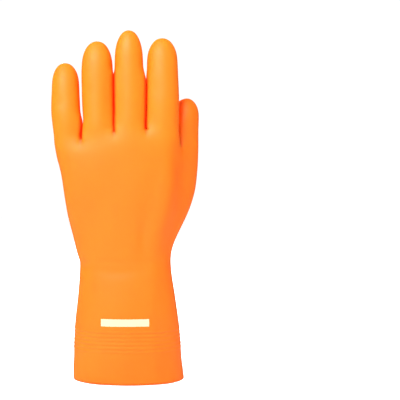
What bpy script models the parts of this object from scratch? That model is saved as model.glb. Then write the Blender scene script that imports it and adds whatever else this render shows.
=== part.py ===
# Reinforced latex work glove for the left hand: one dipped latex skin with a flared cuff, a ribbed
# band above the hem, a pinched wrist, a palm, four fingers and a thumb that lies before the palm.
# Metres, +Z along the hand from the hem to the fingertips, +X towards the thumb's side,
# -Y towards the back of the hand and +Y towards the palm. The origin is the middle of the mouth.

import math

import bmesh
import bpy
from mathutils import Vector

# The skin
WALL = 0.0010

# The cuff, from the hem up to the crease at the wrist
CUFF_LENGTH = 0.104
HEM_WIDTH = 0.0986
HEM_DEPTH = 0.062
WRIST_WIDTH = 0.0806
WRIST_DEPTH = 0.0500
WRIST_SHIFT = -0.0027  # the wrist lies a little to the small finger's side of the mouth

# The ridges round the cuff that keep a sleeve in place
RIB_COUNT = 6
RIB_PITCH = 0.0036
RIB_HEIGHT = 0.0005
RIB_FOOT = 0.0200  # lowest rib's foot above the hem

# The hand, from the wrist crease up to the root of the middle finger
PALM_LENGTH = 0.115
PALM_WIDTH = 0.1125
PALM_DEPTH = 0.0390
PALM_SET_BACK = -0.0065  # the palm's middle plane lies behind the mouth's middle
PALM_HOLLOW = 0.0030

# Fingers and thumb. drop: how far the root lies below the middle finger's root. set_back: y of the
# root. low, middle and high: widths along it. depth: front to back, at the middle. tip: length of
# the rounded end. lean and curl: how far the tip goes sideways and towards the palm.
FINGERS = {
    "little": dict(drop=0.0100, set_back=-0.0068, length=0.0732, low=0.0246, middle=0.0266,
                   high=0.0262, depth=0.0232, tip=0.0215, lean=-0.0036, curl=0.0120),
    "ring": dict(drop=0.0050, set_back=-0.0080, length=0.0870, low=0.0262, middle=0.0276,
                 high=0.0284, depth=0.0256, tip=0.0245, lean=-0.0008, curl=0.0100),
    "middle": dict(drop=0.0000, set_back=-0.0085, length=0.0915, low=0.0264, middle=0.0272,
                   high=0.0262, depth=0.0262, tip=0.0270, lean=-0.0014, curl=0.0070),
    "index": dict(drop=0.0010, set_back=-0.0076, length=0.0860, low=0.0280, middle=0.0300,
                  high=0.0286, depth=0.0266, tip=0.0230, lean=-0.0006, curl=0.0100),
}
FINGER_GAP = 0.0008  # between two fingers at their widest
FINGER_SHIFT = 0.0008  # the middle finger's place across the mouth
THUMB = dict(drop=0.0140, length=0.0470, low=0.0262, middle=0.0262, high=0.0252, depth=0.0250,
             tip=0.0175, lean=0.0022, curl=0.0050)
THUMB_ASIDE = 0.0206  # thumb's root beside the forefinger's root
THUMB_FORWARD = 0.0200  # and before it

# Shares of the named sizes, row by row
# Cuff: up is a share of the cuff's length, flare a share of the way from wrist size to hem size
CUFF_ROWS = [
    dict(up=0.00, flare=1.00),
    dict(up=0.20, flare=0.90),
    dict(up=0.45, flare=0.72),
    dict(up=0.70, flare=0.34),
    dict(up=0.94, flare=0.02),
]
# Hand below the thumb's fork: up is a share of the palm's length, forked how far the section has
# taken the forked form, small_side and thumb_side are shares of the palm's width and back and front
# shares of the palm's depth, all from the mouth's middle
HEEL_ROWS = [
    dict(up=0.000, forked=0.00, small_side=0.381, thumb_side=0.333, back=0.608, front=0.585),
    dict(up=0.075, forked=0.05, small_side=0.404, thumb_side=0.339, back=0.630, front=0.668),
    dict(up=0.200, forked=0.28, small_side=0.441, thumb_side=0.396, back=0.645, front=0.735),
    dict(up=0.357, forked=0.60, small_side=0.484, thumb_side=0.478, back=0.655, front=0.765),
    dict(up=0.520, forked=0.85, small_side=0.510, thumb_side=0.538, back=0.655, front=0.755),
    dict(up=0.680, forked=0.97, small_side=0.532, thumb_side=0.560, back=0.640, front=0.715),
]
# Palm at the thumb's fork: bowed is how far its middle has taken the bow of the finger roots, tilt
# how much lower it lies on the small finger's side, as a share of the palm's length
FORK_ROW = dict(small_side=0.560, thumb_side=0.392, thick=0.85, bowed=0.60, tilt=0.10)
# Fingers: along is a share of the straight stretch from the root to the rounded tip
FINGER_ROWS = [
    dict(along=0.15, low=1.0, middle=0.0, high=0.0),
    dict(along=0.42, low=0.0, middle=1.0, high=0.0),
    dict(along=0.72, low=0.0, middle=0.4, high=0.6),
    dict(along=1.00, low=0.0, middle=0.0, high=1.0),
]
THUMB_ROWS = [FINGER_ROWS[0], FINGER_ROWS[2], FINGER_ROWS[3]]
TIP_ROWS = [0.45, 0.82]  # shares of the rounded tip's length

CUFF_POWER = 2.3  # 2 is an ellipse, more is squarer
PALM_POWER = 3.0
WEB_VALLEY = 0.72  # depth between two finger roots, as a share of the depth at the fingers
WEB_TILT = 0.0050  # the webs rise this much from the back to the palm
OUTER_COLUMN = 0.75  # the outermost columns, as a share of the outer fingers' half width
SEAT_ROUNDS = 3
LATEX_ORANGE = (1.0, 0.27, 0.02, 1.0)

WRIST_HEIGHT = CUFF_LENGTH
ROOT_HEIGHT = CUFF_LENGTH + PALM_LENGTH


def blend(a, b, share):
    return a + (b - a) * share


def dome(across):
    """Height of the palm's section at a place across it, from -1 to 1."""
    return (1 - abs(across) ** PALM_POWER) ** (1 / PALM_POWER)


def oval(angle):
    """A point on the cuff's unit section, with the angle in degrees."""
    c, s = math.cos(math.radians(angle)), math.sin(math.radians(angle))
    reach = (abs(c) ** CUFF_POWER + abs(s) ** CUFF_POWER) ** (-1 / CUFF_POWER)
    return c * reach, s * reach


def cuff_ring(row):
    """24 points round the cuff, from the small finger's side past the palm to the thumb's side."""
    width = blend(WRIST_WIDTH, HEM_WIDTH, row["flare"])
    depth = blend(WRIST_DEPTH, HEM_DEPTH, row["flare"])
    points = []
    for k in range(24):
        x, y = oval(180 - 15 * k)
        place = (WRIST_SHIFT * row["up"] + x * width / 2, y * depth / 2, row["up"] * CUFF_LENGTH)
        points.append(Vector(place))
    return points


def sideways(digit, share):
    """How far a finger has gone sideways, at a share of its length."""
    return digit["lean"] * math.sin(share * math.pi / 2)


def finger_roots():
    """Stands the fingers side by side, clear of each other at their widest."""
    names = list(FINGERS)
    widest = {n: max(FINGERS[n][part] for part in ("low", "middle", "high")) for n in names}
    x = FINGER_SHIFT - sum(
        (widest[a] + widest[b]) / 2 + FINGER_GAP for a, b in (("little", "ring"), ("ring", "middle"))
    )
    roots = []
    for i, name in enumerate(names):
        if i:
            x += (widest[names[i - 1]] + widest[name]) / 2 + FINGER_GAP
        digit = FINGERS[name]
        root = (x - sideways(digit, 0.5), digit["set_back"], ROOT_HEIGHT - digit["drop"])
        roots.append(Vector(root))
    return roots


def thumb_root():
    index = finger_roots()[-1]
    return Vector((index.x + THUMB_ASIDE, index.y + THUMB_FORWARD, ROOT_HEIGHT - THUMB["drop"]))


def digit_ring(digit, root, share, width, depth):
    """8 points round a finger or the thumb, at a share of its length."""
    middle = root + Vector(
        (sideways(digit, share), digit["curl"] * share**2, digit["length"] * share)
    )
    ring = []
    for k in range(8):
        angle = math.radians(180 - 45 * k)
        ring.append(middle + Vector((math.cos(angle) * width / 2, math.sin(angle) * depth / 2, 0)))
    return ring


def digit_rings(digit, root, rows):
    """The rings of a finger or the thumb above its root, and the point at its tip."""
    straight = 1 - digit["tip"] / digit["length"]
    flat = digit["depth"] / digit["middle"]
    rings = []
    for row in rows:
        width = sum(row[part] * digit[part] for part in ("low", "middle", "high"))
        rings.append(digit_ring(digit, root, row["along"] * straight, width, width * flat))
    for share in TIP_ROWS:
        width = digit["high"] * math.sqrt(1 - share**2)
        rings.append(digit_ring(digit, root, blend(straight, 1, share), width, width * flat))
    apex = root + Vector((digit["lean"], digit["curl"], digit["length"]))
    return rings, apex


def web_ring():
    """20 points round the finger roots: the small finger's side, 9 columns before, the other side,
    9 columns behind. Every other column stands on a finger's middle, the others on webs or edges."""
    fingers, roots = list(FINGERS.values()), finger_roots()
    reach = [f["low"] / 2 for f in fingers]
    sides = [roots[0] - Vector((reach[0], 0, 0)), roots[3] + Vector((reach[3], 0, 0))]
    edges = [
        roots[0] - Vector((reach[0] * OUTER_COLUMN, 0, 0)),
        roots[3] + Vector((reach[3] * OUTER_COLUMN, 0, 0)),
    ]
    columns = [(edges[0], fingers[0]["depth"] / 2 * WEB_VALLEY)]
    for i, (finger, root) in enumerate(zip(fingers, roots)):
        if i:
            web = (roots[i - 1] + root) / 2
            web.x = (roots[i - 1].x + reach[i - 1] + root.x - reach[i]) / 2
            depth = (fingers[i - 1]["depth"] + finger["depth"]) / 2
            columns.append((web, depth / 2 * WEB_VALLEY))
        columns.append((root, finger["depth"] / 2))
    columns.append((edges[1], fingers[3]["depth"] / 2 * WEB_VALLEY))
    front = [place + Vector((0, half, WEB_TILT / 2)) for place, half in columns]
    back = [place - Vector((0, half, WEB_TILT / 2)) for place, half in columns]
    return [sides[0], *front, sides[1], *reversed(back)]


def fork_ring():
    """20 points round the palm at the thumb's fork, with the columns of the web ring."""
    small, thumb = -FORK_ROW["small_side"] * PALM_WIDTH, FORK_ROW["thumb_side"] * PALM_WIDTH
    top, half = ROOT_HEIGHT - THUMB["drop"], FORK_ROW["thick"] * PALM_DEPTH / 2
    web = web_ring()
    points = []
    for k, above in enumerate(web):
        across = blend(-1, 1, (above.x - web[0].x) / (web[10].x - web[0].x))
        y = blend(PALM_SET_BACK, (above.y + web[-k].y) / 2, FORK_ROW["bowed"])
        if 0 < k < 10:
            y += half * dome(across) - PALM_HOLLOW * (1 - across**2) ** 2
        elif k > 10:
            y -= half * dome(across)
        height = top - FORK_ROW["tilt"] * PALM_LENGTH * (1 - across) / 2
        points.append(Vector((blend(small, thumb, (across + 1) / 2), y, height)))
    return points


def forked_rings():
    """The palm's 20 points and the thumb's 8 at the fork. Where they meet both take the place
    between them."""
    palm = fork_ring()
    thumb = digit_ring(THUMB, thumb_root(), 0, THUMB["low"], THUMB["depth"])
    for palm_place, thumb_place in ((8, 0), (9, 7), (10, 6)):
        meeting = (palm[palm_place] + thumb[thumb_place]) / 2
        palm[palm_place] = thumb[thumb_place] = meeting
    return palm, thumb


def heel_ring(row, forked):
    """24 points round the hand below the fork, between the oval of the wrist and the forked form."""
    low_x, high_x = min(p.x for p in forked), max(p.x for p in forked)
    low_y, high_y = min(p.y for p in forked), max(p.y for p in forked)
    small, thumb = -row["small_side"] * PALM_WIDTH, row["thumb_side"] * PALM_WIDTH
    back, front = -row["back"] * PALM_DEPTH, row["front"] * PALM_DEPTH
    ring = []
    for k, point in enumerate(forked):
        round_x, round_y = oval(180 - 15 * k)
        across = blend((round_x + 1) / 2, (point.x - low_x) / (high_x - low_x), row["forked"])
        through = blend((round_y + 1) / 2, (point.y - low_y) / (high_y - low_y), row["forked"])
        height = WRIST_HEIGHT + row["up"] * PALM_LENGTH
        ring.append(Vector((blend(small, thumb, across), blend(back, front, through), height)))
    return ring


def add_band(bm, lower, points):
    """A new ring above an old one of as many points, and the quads between them."""
    upper = [bm.verts.new(p) for p in points]
    for i in range(len(lower)):
        j = (i + 1) % len(lower)
        bm.faces.new((lower[i], upper[i], upper[j], lower[j]))
    return upper


def add_digit(bm, root_ring, rings, apex):
    """A finger: bands up from its root and four quads that close its tip."""
    ring = root_ring
    for points in rings:
        ring = add_band(bm, ring, points)
    tip = bm.verts.new(apex)
    for k in (0, 2, 4, 6):
        bm.faces.new((tip, ring[(k + 2) % 8], ring[k + 1], ring[k]))


def glove_cage():
    """The coarse cage of the whole skin, open at the hem."""
    bm = bmesh.new()
    palm_points, thumb_points = forked_rings()
    forked = palm_points[:8] + thumb_points[:7] + palm_points[11:]

    ring = [bm.verts.new(p) for p in cuff_ring(CUFF_ROWS[0])]
    for row in CUFF_ROWS[1:]:
        ring = add_band(bm, ring, cuff_ring(row))
    for row in HEEL_ROWS:
        ring = add_band(bm, ring, heel_ring(row, forked))
    ring = add_band(bm, ring, forked)

    # At the fork the ring of 24 parts into the palm's 20 and the thumb's 8, which share its web
    web = bm.verts.new(thumb_points[7])
    palm = ring[:9] + [web] + ring[14:]
    thumb = ring[8:15] + [web]
    add_digit(bm, thumb, *digit_rings(THUMB, thumb_root(), THUMB_ROWS))

    knuckles = web_ring()
    halfway = [(v.co + above) / 2 for v, above in zip(palm, knuckles)]
    palm = add_band(bm, palm, halfway)
    palm = add_band(bm, palm, knuckles)

    # Across each web lies one point between the front and the back
    front, back = palm[1:10], palm[:10:-1]
    between = [palm[0]]
    for column in (2, 4, 6):
        between.append(bm.verts.new((front[column].co + back[column].co) / 2))
    between.append(palm[10])
    for i, (finger, root) in enumerate(zip(FINGERS.values(), finger_roots())):
        c = 2 * i
        before, behind = front[c : c + 3], back[c : c + 3]
        root_ring = [between[i], *before, between[i + 1], *reversed(behind)]
        add_digit(bm, root_ring, *digit_rings(finger, root, FINGER_ROWS))

    mesh = bpy.data.meshes.new("glove_cage")
    bm.to_mesh(mesh)
    bm.free()
    return mesh


def seat_on_points(cage):
    """Pulls the cage out until its subdivided skin passes by the points that the tables gave."""
    wanted = [v.co.copy() for v in cage.data.vertices]
    for _ in range(SEAT_ROUNDS):
        bpy.context.view_layer.update()
        skin = cage.evaluated_get(bpy.context.evaluated_depsgraph_get()).data
        places = [skin.vertices[i].co.copy() for i in range(len(wanted))]
        for vertex, place, target in zip(cage.data.vertices, places, wanted):
            vertex.co += target - place


def press_ribs(bm):
    """Cuts rows round the cuff and raises every other one into a ridge."""
    for i in range(2 * RIB_COUNT + 1):
        bmesh.ops.bisect_plane(
            bm,
            geom=bm.verts[:] + bm.edges[:] + bm.faces[:],
            dist=RIB_PITCH / 6,
            plane_co=(0, 0, RIB_FOOT + i * RIB_PITCH / 2),
            plane_no=(0, 0, 1),
        )
    bm.normal_update()
    moves = []
    for v in bm.verts:
        turns = (v.co.z - RIB_FOOT) / RIB_PITCH
        if 0 < turns < RIB_COUNT:
            out = Vector((v.normal.x, v.normal.y, 0)).normalized()
            moves.append((v, out * RIB_HEIGHT * (1 - math.cos(2 * math.pi * turns)) / 2))
    for v, move in moves:
        v.co += move


def latex():
    material = bpy.data.materials.new("orange latex")
    material.use_nodes = True
    shader = material.node_tree.nodes["Principled BSDF"]
    shader.inputs["Base Color"].default_value = LATEX_ORANGE
    shader.inputs["Roughness"].default_value = 0.45
    shader.inputs["Metallic"].default_value = 0.0
    return material


def make_glove(collection):
    cage = bpy.data.objects.new("glove_cage", glove_cage())
    collection.objects.link(cage)
    smooth = cage.modifiers.new("smooth", "SUBSURF")
    smooth.levels = smooth.render_levels = 1
    seat_on_points(cage)

    bpy.context.view_layer.update()
    skin = bpy.data.meshes.new_from_object(cage.evaluated_get(bpy.context.evaluated_depsgraph_get()))
    bpy.data.objects.remove(cage)
    bm = bmesh.new()
    bm.from_mesh(skin)
    press_ribs(bm)
    bm.to_mesh(skin)
    bm.free()

    glove = bpy.data.objects.new("glove", skin)
    collection.objects.link(glove)
    skin.materials.append(latex())
    wall = glove.modifiers.new("wall", "SOLIDIFY")
    wall.thickness = WALL
    wall.offset = -1
    skin.shade_smooth()
    return glove


def main():
    for old in list(bpy.data.objects):
        bpy.data.objects.remove(old)
    collection = bpy.data.collections.new("latex glove")
    bpy.context.scene.collection.children.link(collection)
    make_glove(collection)


main()
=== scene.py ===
import math

import bmesh
import bpy
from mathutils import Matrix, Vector, noise


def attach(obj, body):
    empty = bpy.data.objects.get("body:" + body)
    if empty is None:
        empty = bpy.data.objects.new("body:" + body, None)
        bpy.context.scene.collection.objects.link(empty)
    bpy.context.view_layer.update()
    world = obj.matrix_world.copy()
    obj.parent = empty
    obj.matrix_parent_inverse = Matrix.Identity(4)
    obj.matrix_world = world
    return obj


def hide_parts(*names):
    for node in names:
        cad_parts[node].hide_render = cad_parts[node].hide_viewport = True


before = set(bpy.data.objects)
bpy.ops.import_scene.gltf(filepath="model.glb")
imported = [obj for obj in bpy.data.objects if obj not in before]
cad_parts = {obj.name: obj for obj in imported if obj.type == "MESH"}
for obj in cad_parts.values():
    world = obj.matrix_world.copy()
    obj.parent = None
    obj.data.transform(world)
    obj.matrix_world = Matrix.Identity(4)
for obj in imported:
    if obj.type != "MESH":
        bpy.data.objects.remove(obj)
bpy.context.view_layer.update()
mm = 0.001
onBack, onPalm = Vector((0, -1, 0)), Vector((0, 1, 0))
onSmallSide, onThumbSide = Vector((-1, 0, 0)), Vector((1, 0, 0))
print("solid loaded")

# The dipped skin
skin = {
    "weld": 0.02 * mm,
    "rim": 0.3 * mm,  # faces below this are the cut edge of the hem
    "wall": 1.0 * mm,
    "joinAngles": (math.radians(50), math.radians(60)),  # two triangles within these become a quad
    "joinNeatness": 1.5,
    "outsideRounds": 2,  # subdivision of the outside and of the inside
    "insideRounds": 1,
    "knuckles": (184 * mm, 222 * mm),  # the stretch of the back that is smoothed first
    "knuckleFacing": 0.45,
    "knuckleRounds": 6,
    "cuff": (16 * mm, 46 * mm),  # the solid's broad ribs are smoothed out here, for the fine ones
    "cuffRounds": 10,
    "smoothStep": 0.5,  # how far a corner goes towards its neighbours in one round
    "sharpFrom": math.radians(70),
}
# Where two fingers press together. The course is the line along which they touch and the gap is the
# middle between them in the solid, both in mm up and mm across; the way is the direction across.
# The gap's sides are read from the low end up. The fingers touch up to the high end and part over the
# fade above it. Skin within reach of the gap comes along, and none of it by more than the most.
crevices = [
    {  # little finger and ring finger
        "course": [(206, -42.0), (218, -41.2), (229, -40.0), (240, -41.0), (280, -43.0)],
        "gap": [(206, -41.1), (218, -41.1), (266, -43.1), (280, -43.6)],
        "way": (1, 0),
        "low": 216 * mm,
        "high": 224 * mm,
        "fade": 16 * mm,
        "reach": 8 * mm,
        "most": 2.4 * mm,
    },
    {  # ring finger and middle finger
        "course": [(212, -12.2), (235, -12.8), (256, -13.4), (290, -13.4)],
        "gap": [(212, -13.0), (290, -13.2)],
        "way": (1, 0),
        "low": 222 * mm,
        "high": 268 * mm,
        "fade": 8 * mm,
        "reach": 7 * mm,
        "most": 2.4 * mm,
    },
    {  # middle finger and forefinger
        "course": [(212, 14.6), (235, 15.4), (256, 15.8), (290, 15.6)],
        "gap": [(212, 15.8), (224, 15.7), (242, 15.0), (290, 14.9)],
        "way": (1, 0),
        "low": 224 * mm,
        "high": 261 * mm,
        "fade": 17 * mm,
        "reach": 9 * mm,
        "most": 4.4 * mm,
    },
    {  # forefinger and thumb, which stands before the palm
        "course": [(200, 31.8), (250, 31.8)],
        "gap": [(200, 31.8), (250, 31.8)],
        "way": (0.724, 0.690),
        "low": 204 * mm,
        "high": 226 * mm,
        "fade": 14 * mm,
        "reach": 9 * mm,
        "most": 1.6 * mm,
    },
]
creviceSearch = {
    "slab": 2 * mm,
    "window": 2.6 * mm,  # height of skin that is read for each slab, up and down
    "near": 6 * mm,  # skin farther from the gap's middle isn't read
    "beside": 1.7 * mm,  # how far off the found gap may lie
    "least": 0.5 * mm,  # how wide it has to be
    "web": 3 * mm,  # the web lies this far below the lowest slab
    "below": 4 * mm,  # and the skin under the web comes along this far down
}
creviceContact = {
    "clearance": 0.04 * mm,
    "press": 0.8 * mm,  # how far the sides would pass each other if they weren't pressed flat
    "slant": -0.22,  # the flat contact lies askew, so no light falls straight through
    "slantReach": 5 * mm,  # before and behind its middle
    "depth": (-8 * mm, 7 * mm),  # its middle at the webs, and how much nearer the palm at the tips
    "depthFrom": 210 * mm,
    "depthOver": 90 * mm,
    "webShare": 0.8,  # how much of the way the web itself comes along
}
dents = [  # middle, size across and along, depth (a swell where it is below 0), side
    {"x": 20 * mm, "z": 201 * mm, "wide": 11 * mm, "long": 18 * mm, "deep": 3.4 * mm, "side": onPalm},
    {"x": 4 * mm, "z": 222 * mm, "wide": 26 * mm, "long": 8 * mm, "deep": -1.0 * mm, "side": onPalm},
    {"x": 24 * mm, "z": 233 * mm, "wide": 12 * mm, "long": 5 * mm, "deep": 0.8 * mm, "side": onPalm},
    {"x": -12 * mm, "z": 150 * mm, "wide": 20 * mm, "long": 18 * mm, "deep": -0.8 * mm, "side": onPalm},
    {"x": -35 * mm, "z": 182 * mm, "wide": 14 * mm, "long": 16 * mm, "deep": 0.6 * mm, "side": onPalm},
    {"x": -4 * mm, "z": 188 * mm, "wide": 10 * mm, "long": 12 * mm, "deep": 0.6 * mm, "side": onPalm},
    {"x": 8 * mm, "z": 130 * mm, "wide": 38 * mm, "long": 18 * mm, "deep": -2.0 * mm, "side": onPalm},
    {"x": -50 * mm, "z": 198 * mm, "wide": 5 * mm, "long": 12 * mm, "deep": 0.8 * mm, "side": onPalm},
    {"x": -41.8 * mm, "z": 210 * mm, "wide": 2.4 * mm, "long": 9 * mm, "deep": 1.6 * mm, "side": onPalm},
    {"x": -12.8 * mm, "z": 217 * mm, "wide": 2.4 * mm, "long": 9 * mm, "deep": 1.6 * mm, "side": onPalm},
    {"x": 15.2 * mm, "z": 219 * mm, "wide": 2.4 * mm, "long": 9 * mm, "deep": 1.6 * mm, "side": onPalm},
    {"x": 13 * mm, "z": 127 * mm, "wide": 5 * mm, "long": 14 * mm, "deep": 1.3 * mm, "side": onBack},
    {"x": -31 * mm, "z": 146 * mm, "wide": 15 * mm, "long": 20 * mm, "deep": 2.1 * mm, "side": onBack},
    {"x": 19 * mm, "z": 149 * mm, "wide": 10 * mm, "long": 18 * mm, "deep": 1.0 * mm, "side": onBack},
    {"x": -8 * mm, "z": 95 * mm, "wide": 17 * mm, "long": 4 * mm, "deep": 0.8 * mm, "side": onBack},
    {"x": -8 * mm, "z": 106 * mm, "wide": 24 * mm, "long": 6 * mm, "deep": -0.6 * mm, "side": onBack},
    {"x": -5 * mm, "z": 60 * mm, "wide": 34 * mm, "long": 20 * mm, "deep": -1.4 * mm, "side": onBack},
    {"x": -40 * mm, "z": 99 * mm, "wide": 6 * mm, "long": 4 * mm, "deep": 0.6 * mm, "side": onBack},
    {"x": -60 * mm, "z": 243 * mm, "wide": 5 * mm, "long": 5 * mm, "deep": 0.6 * mm, "side": onBack},
    {"x": -35 * mm, "z": 253 * mm, "wide": 5 * mm, "long": 7 * mm, "deep": 0.5 * mm, "side": onBack},
    {"x": 24 * mm, "z": 254 * mm, "wide": 6 * mm, "long": 8 * mm, "deep": 0.5 * mm, "side": onBack},
    {"x": -41.8 * mm, "z": 212 * mm, "wide": 2.4 * mm, "long": 6 * mm, "deep": 2.0 * mm, "side": onBack},
    {"x": -12.4 * mm, "z": 219 * mm, "wide": 2.4 * mm, "long": 6 * mm, "deep": 2.0 * mm, "side": onBack},
    {"x": 15.0 * mm, "z": 221 * mm, "wide": 2.4 * mm, "long": 6 * mm, "deep": 2.0 * mm, "side": onBack},
    {"x": -12 * mm, "z": 217 * mm, "wide": 34 * mm, "long": 16 * mm, "deep": -2.5 * mm, "side": onBack},
    {"x": -6 * mm, "z": 122 * mm, "wide": 42 * mm, "long": 22 * mm, "deep": 1.7 * mm, "side": onBack},
    {"x": -69 * mm, "z": 262 * mm, "wide": 12 * mm, "long": 16 * mm, "deep": 0.9 * mm, "side": onSmallSide},
    {"x": 64 * mm, "z": 228 * mm, "wide": 15 * mm, "long": 26 * mm, "deep": 1.2 * mm, "side": onThumbSide},
    {"x": -43 * mm, "z": 108 * mm, "wide": 15 * mm, "long": 14 * mm, "deep": -0.7 * mm, "side": onSmallSide},
    {"x": 38 * mm, "z": 108 * mm, "wide": 15 * mm, "long": 14 * mm, "deep": -0.8 * mm, "side": onThumbSide},
]
thumbValley = {  # between the ball of the thumb and the hollow of the palm, on the palm's side
    "course": [(38, 226), (33, 214), (29, 195), (22, 179), (13, 169), (5, 161)],  # mm across and up
    "stretch": (145 * mm, 230 * mm),  # its heights
    "wide": 5 * mm,
    "deep": 1.5 * mm,
}
backEdge = {  # where the flat back of hand and cuff turns to the thumb's side
    "course": [(21, 5), (21, 60), (22, 108), (27, 145), (33, 178), (36, 205)],
    "wide": 7 * mm,
    "high": 0.9 * mm,
    "below": 225 * mm,
}
wristFold = {  # a step on the palm's side and a shallow groove on the back, each fading up and down
    "stretch": (80 * mm, 125 * mm),  # its heights
    "palm": {"z": 101.6 * mm, "above": 10 * mm, "below": 1.4 * mm, "deep": 1.2 * mm},
    "back": {"z": 98.5 * mm, "above": 5 * mm, "below": 5 * mm, "deep": 0.35 * mm},
    "sway": 0.4 * mm,
    "swayLength": 60 * mm,
}
swells = [  # the slight unevenness of a skin that was dipped: size, height and seed
    {"size": 46 * mm, "height": 0.55 * mm, "seed": 3.1},
    {"size": 17 * mm, "height": 0.16 * mm, "seed": 8.7},
    {"size": 5 * mm, "height": 0.035 * mm, "seed": 5.3},
]
# Up to this height the cuff sways in and out, and its edge lifts off the floor in places
hem = {"height": 30 * mm, "sway": 1.0 * mm, "lift": 0.5 * mm, "size": 24 * mm, "seed": 12.4}
cuffRibs = {"count": 6, "pitch": 3.4 * mm, "foot": 26 * mm, "height": 0.3 * mm, "rowsInPitch": 4}
gripPads = {  # fine ridges across the fingers' ends on the palm's side
    "places": [
        {"x": -56 * mm, "half": 12 * mm, "low": 240 * mm, "high": 262 * mm},
        {"x": -27.7 * mm, "half": 13 * mm, "low": 262 * mm, "high": 288 * mm},
        {"x": 0.8 * mm, "half": 13 * mm, "low": 270 * mm, "high": 297 * mm},
        {"x": 29.7 * mm, "half": 13 * mm, "low": 260 * mm, "high": 288 * mm},
    ],
    "pitch": 2.0 * mm,
    "height": 0.17 * mm,
    "fade": 2.5 * mm,
    "facing": 0.1,  # rows are cut where the skin faces the palm by more than this
    "rowsInPitch": 4,
}
facingFade = {  # how squarely the skin faces a side where a form begins there, and where it is whole
    "dents": (0.1, 0.7),
    "halves": (0.0, 0.5),
    "pads": (0.15, 0.5),
}


def bell(away):
    return math.exp(-away * away)


def ramp(value, low, high):
    share = min(max((value - low) / (high - low), 0), 1)
    return share * share * (3 - 2 * share)


# Every corner that hangs together with the first one
def islandOf(first):
    island, waiting = {first}, [first]
    while waiting:
        for edge in waiting.pop().link_edges:
            other = edge.verts[0] if edge.verts[0] not in island else edge.verts[1]
            if other not in island:
                island.add(other)
                waiting.append(other)
    return island


def cornersBetween(bm, heights):
    return [v for v in bm.verts if heights[0] < v.co.z < heights[1]]


def smoothOut(bm, verts, rounds):
    axes = {"use_axis_x": True, "use_axis_y": True, "use_axis_z": True}
    for _ in range(rounds):
        bmesh.ops.smooth_vert(bm, verts=verts, factor=skin["smoothStep"], **axes)


# The solid's outside or its inside alone, with its triangles joined to quads again
def copySkin(outside):
    bm = bmesh.new()
    bm.from_mesh(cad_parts["glove"].data)
    bmesh.ops.remove_doubles(bm, verts=bm.verts, dist=skin["weld"])
    rim = [f for f in bm.faces if max(v.co.z for v in f.verts) < skin["rim"]]
    bmesh.ops.delete(bm, geom=rim, context="FACES")
    island = islandOf(max(bm.verts, key=lambda v: v.co.z))
    bmesh.ops.delete(bm, geom=[v for v in bm.verts if (v in island) != outside], context="VERTS")
    bmesh.ops.join_triangles(
        bm,
        faces=bm.faces,
        angle_face_threshold=skin["joinAngles"][0],
        angle_shape_threshold=skin["joinAngles"][1],
        topology_influence=skin["joinNeatness"],
    )
    bm.normal_update()
    facing = onBack if outside else onPalm  # the inside's faces look the other way
    knuckles = cornersBetween(bm, skin["knuckles"])
    knuckles = [v for v in knuckles if v.normal.dot(facing) > skin["knuckleFacing"]]
    smoothOut(bm, knuckles, skin["knuckleRounds"])
    smoothOut(bm, cornersBetween(bm, skin["cuff"]), skin["cuffRounds"])
    return bm


# The same skin, rounded by the subdivision modifier
def subdivided(bm, rounds, name):
    coarse = bpy.data.objects.new(name, bpy.data.meshes.new(name))
    bm.to_mesh(coarse.data)
    bm.free()
    bpy.context.scene.collection.objects.link(coarse)
    finer = coarse.modifiers.new("rounded", "SUBSURF")
    finer.levels = finer.render_levels = rounds
    bpy.context.view_layer.update()
    mesh = bpy.data.meshes.new_from_object(coarse.evaluated_get(bpy.context.evaluated_depsgraph_get()))
    bpy.data.objects.remove(coarse)
    smooth = bmesh.new()
    smooth.from_mesh(mesh)
    bpy.data.meshes.remove(mesh)
    return smooth


# Extra rows of edges round the cuff and across the finger pads, for the fine ridges there
def cutRows(bm, faces, low, step, rows):
    geom = faces + list({e for f in faces for e in f.edges}) + list({v for f in faces for v in f.verts})
    near = step / 8  # corners this near to a row count as lying on it
    for i in range(rows):
        cut = bmesh.ops.bisect_plane(
            bm, geom=geom, dist=near, plane_co=(0, 0, low + i * step), plane_no=(0, 0, 1)
        )
        geom = cut["geom"]


def cutRidgeRows(bm):
    step = cuffRibs["pitch"] / cuffRibs["rowsInPitch"]
    rows = cuffRibs["count"] * cuffRibs["rowsInPitch"]
    low, high = cuffRibs["foot"], cuffRibs["foot"] + rows * step
    faces = [f for f in bm.faces if low - step < f.calc_center_median().z < high + step]
    cutRows(bm, faces, low, step, rows + 1)
    step = gripPads["pitch"] / gripPads["rowsInPitch"]
    bm.normal_update()
    for pad in gripPads["places"]:
        faces = []
        for f in bm.faces:
            middle = f.calc_center_median()
            inside = abs(middle.x - pad["x"]) < pad["half"] and pad["low"] < middle.z < pad["high"]
            if inside and f.normal.y > gripPads["facing"]:
                faces.append(f)
        cutRows(bm, faces, pad["low"], step, round((pad["high"] - pad["low"]) / step))


# How far across a course lies at a height
def readCourse(course, z):
    up = z / mm
    for (z0, a), (z1, b) in zip(course, course[1:]):
        if up <= z1:
            return (a + (b - a) * max(up - z0, 0) / (z1 - z0)) * mm
    return course[-1][1] * mm


def acrossOf(place, point):
    return point.x * place["way"][0] + point.y * place["way"][1]


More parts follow.
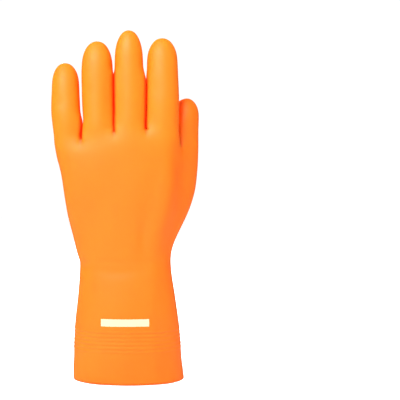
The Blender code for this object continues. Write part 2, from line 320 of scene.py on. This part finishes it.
# Where the near sides of two fingers lie, slab by slab up the crevice between them
def creviceSides(bm, place):
    top, height = place["high"] + place["fade"], creviceSearch["slab"]
    near = []
    for v in bm.verts:
        if place["low"] < v.co.z < top:
            across = acrossOf(place, v.co)
            if abs(across - readCourse(place["gap"], v.co.z)) < creviceSearch["near"]:
                near.append((across, v.co.z))
    near.sort()
    sides = {}
    for slab in range(int(place["low"] // height), int(top // height)):
        middle = (slab + 0.5) * height
        gap = readCourse(place["gap"], middle)
        across = [a for a, z in near if abs(z - middle) < creviceSearch["window"]]
        pairs = [
            (b - a, a, b)
            for a, b in zip(across, across[1:])
            if abs((a + b) / 2 - gap) < creviceSearch["beside"]
        ]
        if pairs and max(pairs)[0] > creviceSearch["least"]:
            sides[slab] = max(pairs)[1:]
    return sides


# The two sides at any height, between the slabs; below the lowest one its sides go on
def sidesAt(sides, z):
    slab = z / creviceSearch["slab"] - 0.5
    low, share = math.floor(slab), slab - math.floor(slab)
    if low in sides and low + 1 in sides:
        return [a + (b - a) * share for a, b in zip(sides[low], sides[low + 1])]
    if low in sides or low + 1 in sides:
        return sides.get(low) or sides.get(low + 1)
    lowest = min(sides)
    return sides[lowest] if low < lowest else None


# How far the flat contact lies aside of its course, which leans from front to back
def leanAt(place, point):
    if place["way"][1]:
        return 0
    root, forward = creviceContact["depth"]
    up = (point.z - creviceContact["depthFrom"]) / creviceContact["depthOver"]
    reach = creviceContact["slantReach"]
    return creviceContact["slant"] * min(max(point.y - (root + forward * up ** 2), -reach), reach)


# How far a place moves across so that the fingers touch along their crevice
def closing(place, sides, point, wall):
    z = point.z
    web = (min(sides) + 0.5) * creviceSearch["slab"] - creviceSearch["web"]
    foot, top = web - creviceSearch["below"], place["high"] + place["fade"]
    if not foot < z < top:
        return 0
    found = sidesAt(sides, z)
    if not found:
        return 0
    across, (left, right) = acrossOf(place, point), found
    middle, half = (left + right) / 2, (right - left) / 2
    away = abs(across - middle) - half - wall
    if away > place["reach"]:
        return 0
    part = (1 - ramp(z, place["high"], top)) * ramp(z, foot, web)
    line = readCourse(place["course"], z)
    way = math.copysign(1, across - middle)
    flat = line + leanAt(place, point) + way * (creviceContact["clearance"] / 2 + wall)
    if away < 0:  # the web itself, between the two sides
        return (flat - across) * part * creviceContact["webShare"]
    side = left if way < 0 else right
    near = 1 - away / place["reach"]
    pull = line - way * creviceContact["press"] - side
    pull = min(max(pull, -place["most"]), place["most"])
    move = pull * near * near * (3 - 2 * near)
    if way * (across + move - flat) < 0:
        move = flat - across
    return move * part


# The way from a place to the nearest stretch of a course that is given across and up
def distanceToCourse(course, x, z):
    best = math.inf
    for (ax, az), (bx, bz) in zip(course, course[1:]):
        dx, dz = (bx - ax) * mm, (bz - az) * mm
        along = ((x - ax * mm) * dx + (z - az * mm) * dz) / (dx * dx + dz * dz)
        along = min(max(along, 0), 1)
        best = min(best, math.hypot(x - ax * mm - along * dx, z - az * mm - along * dz))
    return best


# How far the skin stands out at a place, against the smooth solid
def standOut(point, out):
    x, y, z = point
    total = 0
    for dent in dents:
        facing = ramp(out.dot(dent["side"]), *facingFade["dents"])
        if facing:
            away = math.hypot((x - dent["x"]) / dent["wide"], (z - dent["z"]) / dent["long"])
            total -= dent["deep"] * bell(away) * facing
    palmward, backward = ramp(out.y, *facingFade["halves"]), ramp(-out.y, *facingFade["halves"])
    if palmward and thumbValley["stretch"][0] < z < thumbValley["stretch"][1]:
        away = distanceToCourse(thumbValley["course"], x, z)
        total -= thumbValley["deep"] * bell(away / thumbValley["wide"]) * palmward
    if backward and z < backEdge["below"]:
        away = distanceToCourse(backEdge["course"], x, z)
        total += backEdge["high"] * bell(away / backEdge["wide"]) * backward
    if wristFold["stretch"][0] < z < wristFold["stretch"][1]:
        sway = wristFold["sway"] * math.sin(x / wristFold["swayLength"] * math.tau)
        for side, facing in (("palm", palmward), ("back", backward)):
            fold = wristFold[side]
            away = z - fold["z"] - sway
            away /= fold["above"] if away > 0 else fold["below"]
            total -= fold["deep"] * bell(away) * facing
    for swell in swells:
        at = point / swell["size"] + Vector((swell["seed"], 0, 0))
        total += swell["height"] * noise.noise(at)
    low = 1 - ramp(z, 0, hem["height"])
    if low:
        total += hem["sway"] * low * noise.noise(point / hem["size"] + Vector((hem["seed"], 0, 0)))
    return total


# The ridges round the cuff and across the finger pads, which the inside doesn't have
def ridges(point, out):
    total = 0
    turns = (point.z - cuffRibs["foot"]) / cuffRibs["pitch"]
    if 0 < turns < cuffRibs["count"]:
        total += cuffRibs["height"] * (1 - math.cos(math.tau * turns)) / 2
    for pad in gripPads["places"]:
        if abs(point.x - pad["x"]) < pad["half"] and pad["low"] < point.z < pad["high"]:
            fade = ramp(point.z, pad["low"], pad["low"] + gripPads["fade"])
            fade *= 1 - ramp(point.z, pad["high"] - gripPads["fade"], pad["high"])
            fade *= ramp(out.y, *facingFade["pads"])
            turns = (point.z - pad["low"]) / gripPads["pitch"]
            total += gripPads["height"] * fade * (1 - math.cos(math.tau * turns)) / 2
    return total


# Moves every place of one of the two skins; the inside keeps the wall's distance in the crevices
def shapeSkin(bm, outside, sides):
    bm.normal_update()
    wall = 0 if outside else skin["wall"]
    moved = []
    for v in bm.verts:
        point = v.co.copy()
        out = v.normal.copy() if outside else -v.normal
        stand = standOut(point, out)
        if outside:
            stand += ridges(point, out)
        to = point + out * stand
        for place, found in zip(crevices, sides):
            move = closing(place, found, point, wall)
            to.x += move * place["way"][0]
            to.y += move * place["way"][1]
        low = 1 - ramp(point.z, 0, hem["height"])
        if low:
            to.z += hem["lift"] * low * max(noise.noise(point / hem["size"]), 0)
        moved.append(to)
    for v, to in zip(bm.verts, moved):
        v.co = to


# Joins the two skins with the cut edge of the hem, which faces down
def closeHem(bm):
    edges = [e for e in bm.edges if e.is_boundary]
    cut = bmesh.ops.bridge_loops(bm, edges=edges)
    for f in cut["faces"]:
        f.material_index = 0
    bm.normal_update()
    for f in cut["faces"]:
        if f.normal.z > 0:
            f.normal_flip()


def makeSkin():
    outside = subdivided(copySkin(True), skin["outsideRounds"], "outside")
    cutRidgeRows(outside)
    print("outside refined:", len(outside.faces), "faces")
    sides = [creviceSides(outside, place) for place in crevices]
    shapeSkin(outside, True, sides)
    print("outside shaped")
    inside = subdivided(copySkin(False), skin["insideRounds"], "inside")
    shapeSkin(inside, False, sides)
    for f in inside.faces:
        f.material_index = 1
    lining = bpy.data.meshes.new("lining")
    inside.to_mesh(lining)
    inside.free()
    outside.from_mesh(lining)
    bpy.data.meshes.remove(lining)
    closeHem(outside)
    mesh = bpy.data.meshes.new("latexGlove")
    outside.to_mesh(mesh)
    loose = sum(1 for e in outside.edges if len(e.link_faces) != 2)
    print("skin closed:", len(outside.faces), "faces,", loose, "open edges")
    outside.free()
    mesh.shade_smooth()
    mesh.set_sharp_from_angle(angle=skin["sharpFrom"])
    glove = bpy.data.objects.new("latexGlove", mesh)
    bpy.context.scene.collection.objects.link(glove)
    return glove


# Finishes
latex = {
    "colour": (0.98, 0.200, 0.002, 1),
    # the deeper colour serves both the clouds and the painted shade
    "deepColour": (0.97, 0.155, 0.001, 1),
    "paintedShadeHandFingers": (0.75, 0.2),  # painted shade: how far the colour is deepened on cuff and hand, and on the fingers, which are painted paler as if better lit
    "fingersFrom": (192 * mm, 222 * mm),  # the heights between which the painted shade lightens to the fingers'
    "thumbDepth": 0.85,
    "thumbFrom": (36 * mm, 47 * mm),  # across: from here to there the painted shade deepens to the thumb's, which faces away from the light
    "cloudDepth": 0.25,  # what clouds and streaks add to it
    "cloudSize": 45 * mm,
    "cloudShare": 0.75,
    "streakSize": 9 * mm,
    "streakShare": 0.25,
    "streakStretch": (1, 1, 0.14),
    "noiseSpan": (0.3, 0.7),  # the part of the noise that is spread over the whole tone
    "grainSize": 1.1 * mm,
    "grainShare": 0.5,  # how much of the roughness follows the grain, the rest follows the clouds
    "roughness": (0.52, 0.64),
    "grainHeight": 0.05 * mm,
    "shader": {
        "IOR": 1.5,
        "Specular IOR Level": 0.34,
        "Subsurface Weight": 0.2,  # light that passes through the skin: how much, its colour and depth
        "Subsurface Radius": (1.0, 0.22, 0.03),
        "Subsurface Scale": 3 * mm,
    },
}
paintedCreviceShade = {  # painted shade: the deep red of light bouncing between two fingers, painted into the latex along each crevice
    "colour": (0.96, 0.065, 0.001, 1),
    "wide": (0.3 * mm, 2.5 * mm),  # away from the middle: all of it, and none
    "foot": (-5 * mm, 2 * mm),  # against the low end: none of it, and all
    "fade": 12 * mm,  # above the high end
    "places": [  # middle across, low end and high end
        (-41.6 * mm, 210 * mm, 236 * mm),
        (-12.7 * mm, 217 * mm, 268 * mm),
        (15.3 * mm, 219 * mm, 262 * mm),
    ],
}
ink = {
    "colour": (0.76, 0.64, 0.40, 1),
    "middle": (-2.9 * mm, 53 * mm),
    "half": (20.6 * mm, 3.1 * mm),
    "raggedness": 0.25 * mm,
    "raggedScale": 900,
    "roughness": 0.55,
}
insideFinish = {
    "colour": (0.90, 0.27, 0.03, 1),
    "deepColour": (0.86, 0.22, 0.02, 1),
    "roughness": (0.6, 0.75),
}


# Short ways to add nodes to a tree and to wire them
class NodeBench:
    def __init__(self, tree):
        self.tree = tree

    # A node with its own settings and the values or links of its inputs
    def add(self, kind, inputs=None, **settings):
        node = self.tree.nodes.new(kind)
        for name, value in settings.items():
            setattr(node, name, value)
        for key, value in (inputs or {}).items():
            if isinstance(value, bpy.types.NodeSocket):
                self.tree.links.new(value, node.inputs[key])
            else:
                node.inputs[key].default_value = value
        return node

    def maths(self, operation, *values):
        return self.add("ShaderNodeMath", dict(enumerate(values)), operation=operation).outputs[0]

    def between(self, value, source, target):
        inputs = {0: value, 1: source[0], 2: source[1], 3: target[0], 4: target[1]}
        return self.add("ShaderNodeMapRange", inputs).outputs[0]

    def mix(self, factor, a, b):
        node = self.add("ShaderNodeMix", {0: factor, 6: a, 7: b}, data_type="RGBA")
        return node.outputs[2]

    def feed(self, value, socket):
        self.tree.links.new(value, socket)


# How strongly the painted shade reddens the latex along the crevices between the fingers, from 0 to 1
def paintedCreviceShadeMask(bench, split):
    paintedCreviceRed = 0
    for middle, low, high in paintedCreviceShade["places"]:
        away = bench.maths("ABSOLUTE", bench.maths("SUBTRACT", split["X"], middle))
        across = bench.between(away, paintedCreviceShade["wide"], (1, 0))
        foot = [low + step for step in paintedCreviceShade["foot"]]
        above = bench.between(split["Z"], foot, (0, 1))
        below = bench.between(split["Z"], (high, high + paintedCreviceShade["fade"]), (1, 0))
        mask = bench.maths("MULTIPLY", across, bench.maths("MULTIPLY", above, below))
        paintedCreviceRed = bench.maths("MAXIMUM", paintedCreviceRed, mask)
    return paintedCreviceRed


# The look of dipped latex: soft clouds, streaks where it ran off the mould, a fine grain; and painted shade,
# deeper on cuff, hand and thumb than on the fingers and red in the crevices between them
def dippedToneAndPaintedShade():
    group = bpy.data.node_groups.new("dippedToneAndPaintedShade", "ShaderNodeTree")
    sockets = [
        ("Colour", "INPUT", "NodeSocketColor"),
        ("Deep Colour", "INPUT", "NodeSocketColor"),
        ("Smoothest", "INPUT", "NodeSocketFloat"),
        ("Roughest", "INPUT", "NodeSocketFloat"),
        ("Colour", "OUTPUT", "NodeSocketColor"),
        ("Roughness", "OUTPUT", "NodeSocketFloat"),
        ("Height", "OUTPUT", "NodeSocketFloat"),
    ]
    for name, way, kind in sockets:
        group.interface.new_socket(name=name, in_out=way, socket_type=kind)
    bench = NodeBench(group)
    given = bench.add("NodeGroupInput")
    place = bench.add("ShaderNodeTexCoord").outputs["Object"]
    cloud = bench.add("ShaderNodeTexNoise", {"Vector": place, "Scale": 1 / latex["cloudSize"], "Detail": 2})
    stretch = bench.add("ShaderNodeMapping", {"Vector": place, "Scale": latex["streakStretch"]})
    streak = bench.add(
        "ShaderNodeTexNoise", {"Vector": stretch.outputs[0], "Scale": 1 / latex["streakSize"], "Detail": 1}
    )
    grain = bench.add("ShaderNodeTexNoise", {"Vector": place, "Scale": 1 / latex["grainSize"], "Detail": 2})
    cloudy = bench.maths("MULTIPLY", cloud.outputs["Fac"], latex["cloudShare"])
    streaky = bench.maths("MULTIPLY", streak.outputs["Fac"], latex["streakShare"])
    both = bench.maths("ADD", cloudy, streaky)
    clouded = bench.between(both, latex["noiseSpan"], (0, 1))
    split = bench.add("ShaderNodeSeparateXYZ", {0: place}).outputs
    # painted shade: the colour deepens from the fingers down to hand and cuff, where less light falls
    handPaintedShade = bench.between(split["Z"], latex["fingersFrom"], latex["paintedShadeHandFingers"])
    # painted shade: the thumb's side, turned away from the light, is deeper
    thumb = bench.between(split["X"], latex["thumbFrom"], (0, latex["thumbDepth"]))
    added = bench.maths("MULTIPLY", clouded, latex["cloudDepth"])
    cloudsAndPaintedShade = bench.maths("ADD", added, bench.maths("MAXIMUM", handPaintedShade, thumb))
    plain = bench.mix(cloudsAndPaintedShade, given.outputs["Colour"], given.outputs["Deep Colour"])
    # painted shade: the crevices between the fingers are reddened
    colour = bench.mix(paintedCreviceShadeMask(bench, split), plain, paintedCreviceShade["colour"])
    fine = bench.maths("MULTIPLY", grain.outputs["Fac"], latex["grainShare"])
    broad = bench.maths("MULTIPLY", cloud.outputs["Fac"], 1 - latex["grainShare"])
    limits = (given.outputs["Smoothest"], given.outputs["Roughest"])
    roughness = bench.between(bench.maths("ADD", fine, broad), latex["noiseSpan"], limits)
    height = bench.maths("ADD", grain.outputs["Fac"], streaky)
    bench.add("NodeGroupOutput", {"Colour": colour, "Roughness": roughness, "Height": height})
    return group


# The bare bar printed on the cuff's back, with slightly ragged edges
def printMask(bench):
    place = bench.add("ShaderNodeTexCoord").outputs["Object"]
    split = bench.add("ShaderNodeSeparateXYZ", {0: place}).outputs
    rag = bench.add("ShaderNodeTexNoise", {"Vector": place, "Scale": ink["raggedScale"], "Detail": 1})
    aside = bench.maths("SUBTRACT", rag.outputs["Fac"], 0.5)  # the noise lies round 0.5
    wander = bench.maths("MULTIPLY", aside, ink["raggedness"] * 2)
    insideBar = []
    for axis, middle, half in zip((0, 2), ink["middle"], ink["half"]):
        away = bench.maths("ABSOLUTE", bench.maths("SUBTRACT", split[axis], middle))
        insideBar.append(bench.maths("LESS_THAN", bench.maths("ADD", away, wander), half))
    facing = bench.maths("LESS_THAN", split[1], 0.0)  # the back alone
    return bench.maths("MULTIPLY", bench.maths("MULTIPLY", *insideBar), facing)


def newMaterial(name):
    material = bpy.data.materials.new(name)
    material.use_nodes = True
    bench = NodeBench(material.node_tree)
    return material, bench, material.node_tree.nodes["Principled BSDF"]


# The dipped look with one finish's colours, and its grain on the shader
def toneNode(bench, tone, finish, shader):
    low, high = finish["roughness"]
    node = bench.add("ShaderNodeGroup", node_tree=tone)
    node.inputs["Colour"].default_value = finish["colour"]
    node.inputs["Deep Colour"].default_value = finish["deepColour"]
    node.inputs["Smoothest"].default_value = low
    node.inputs["Roughest"].default_value = high
    bump = bench.add("ShaderNodeBump", {"Height": node.outputs["Height"], "Distance": latex["grainHeight"]})
    bench.feed(bump.outputs[0], shader.inputs["Normal"])
    return node


def orangeLatex(tone):
    material, bench, shader = newMaterial("orangeLatex")
    look = toneNode(bench, tone, latex, shader)
    mask = printMask(bench)
    bench.feed(bench.mix(mask, look.outputs["Colour"], ink["colour"]), shader.inputs["Base Color"])
    rough = bench.add("ShaderNodeMix", {0: mask, 2: look.outputs["Roughness"], 3: ink["roughness"]})
    bench.feed(rough.outputs[0], shader.inputs["Roughness"])
    for name, value in latex["shader"].items():
        shader.inputs[name].default_value = value
    return material


def latexInside(tone):
    material, bench, shader = newMaterial("latexInside")
    look = toneNode(bench, tone, insideFinish, shader)
    bench.feed(look.outputs["Colour"], shader.inputs["Base Color"])
    bench.feed(look.outputs["Roughness"], shader.inputs["Roughness"])
    return material


glove = makeSkin()
tone = dippedToneAndPaintedShade()
glove.data.materials.append(orangeLatex(tone))
glove.data.materials.append(latexInside(tone))
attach(glove, "root")
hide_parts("glove")
print("glove finished")

# Floor, light and camera
floorLook = {
    "size": 12.0,
    "drop": 0.3 * mm,  # below the hem
    "colour": (0.95, 0.95, 0.95, 1),
    "roughness": 0.35,
    "glow": 0.80,  # for the camera alone
}
airLook = {
    "light": 0.35,  # soft and white, from all round
    "gleam": 0.04,  # what the latex mirrors of it
    "backdrop": 1.05,  # what the camera sees of it
}
lampsAim = Vector((0, 0, 0.15))
lamps = [  # place, size, watts and whether the latex mirrors it
    {"name": "keySoftbox", "at": (-0.50, -0.93, 1.32), "size": 0.65, "watts": 40, "mirrored": True},
    {"name": "palmSoftbox", "at": (-0.25, 1.35, 1.15), "size": 0.9, "watts": 42, "mirrored": False},
    {"name": "thumbFill", "at": (1.30, -0.35, 0.80), "size": 1.0, "watts": 4.5, "mirrored": False},
]
view = {"distance": 0.62, "height": 0.158, "lens": 62.3, "sensor": 36, "shiftX": 0.179}


def makeFloor():
    bm = bmesh.new()
    bmesh.ops.create_grid(bm, x_segments=1, y_segments=1, size=floorLook["size"] / 2)
    bmesh.ops.translate(bm, verts=bm.verts, vec=(0, 0, -floorLook["drop"]))
    mesh = bpy.data.meshes.new("paleFloor")
    bm.to_mesh(mesh)
    bm.free()
    floor = bpy.data.objects.new("paleFloor", mesh)
    bpy.context.scene.collection.objects.link(floor)
    floor.visible_glossy = False  # the photo shows no gleam of the floor in the latex
    material, bench, shader = newMaterial("paleFloor")
    shader.inputs["Base Color"].default_value = floorLook["colour"]
    shader.inputs["Roughness"].default_value = floorLook["roughness"]
    shader.inputs["Emission Color"].default_value = (1, 1, 1, 1)
    straight = bench.add("ShaderNodeLightPath").outputs["Is Camera Ray"]
    bench.feed(bench.maths("MULTIPLY", straight, floorLook["glow"]), shader.inputs["Emission Strength"])
    mesh.materials.append(material)


def makeLight():
    world = bpy.data.worlds.new("paleStudio")
    world.use_nodes = True
    bench = NodeBench(world.node_tree)
    backdrop = world.node_tree.nodes["Background"]
    backdrop.inputs["Color"].default_value = (1, 1, 1, 1)
    path = bench.add("ShaderNodeLightPath").outputs
    mirrored = bench.between(path["Is Glossy Ray"], (0, 1), (airLook["light"], airLook["gleam"]))
    strength = bench.between(path["Is Camera Ray"], (0, 1), (mirrored, airLook["backdrop"]))
    bench.feed(strength, backdrop.inputs["Strength"])
    bpy.context.scene.world = world
    for lamp in lamps:
        light = bpy.data.lights.new(lamp["name"], "AREA")
        light.shape = "SQUARE"
        light.size = lamp["size"]
        light.energy = lamp["watts"]
        holder = bpy.data.objects.new(lamp["name"], light)
        holder.location = lamp["at"]
        holder.visible_glossy = lamp["mirrored"]
        holder.rotation_euler = (lampsAim - holder.location).to_track_quat("-Z", "Y").to_euler()
        bpy.context.scene.collection.objects.link(holder)


def makeCamera():
    eye = bpy.data.cameras.new("camera")
    eye.sensor_width = view["sensor"]
    eye.lens = view["lens"]
    eye.shift_x = view["shiftX"]
    camera = bpy.data.objects.new("camera", eye)
    camera.location = (0, -view["distance"], view["height"])
    camera.rotation_euler = (math.radians(90), 0, 0)
    bpy.context.scene.collection.objects.link(camera)
    bpy.context.scene.camera = camera


makeFloor()
makeLight()
makeCamera()
bpy.context.scene.view_settings.view_transform = "Standard"
print("floor, light and camera set")
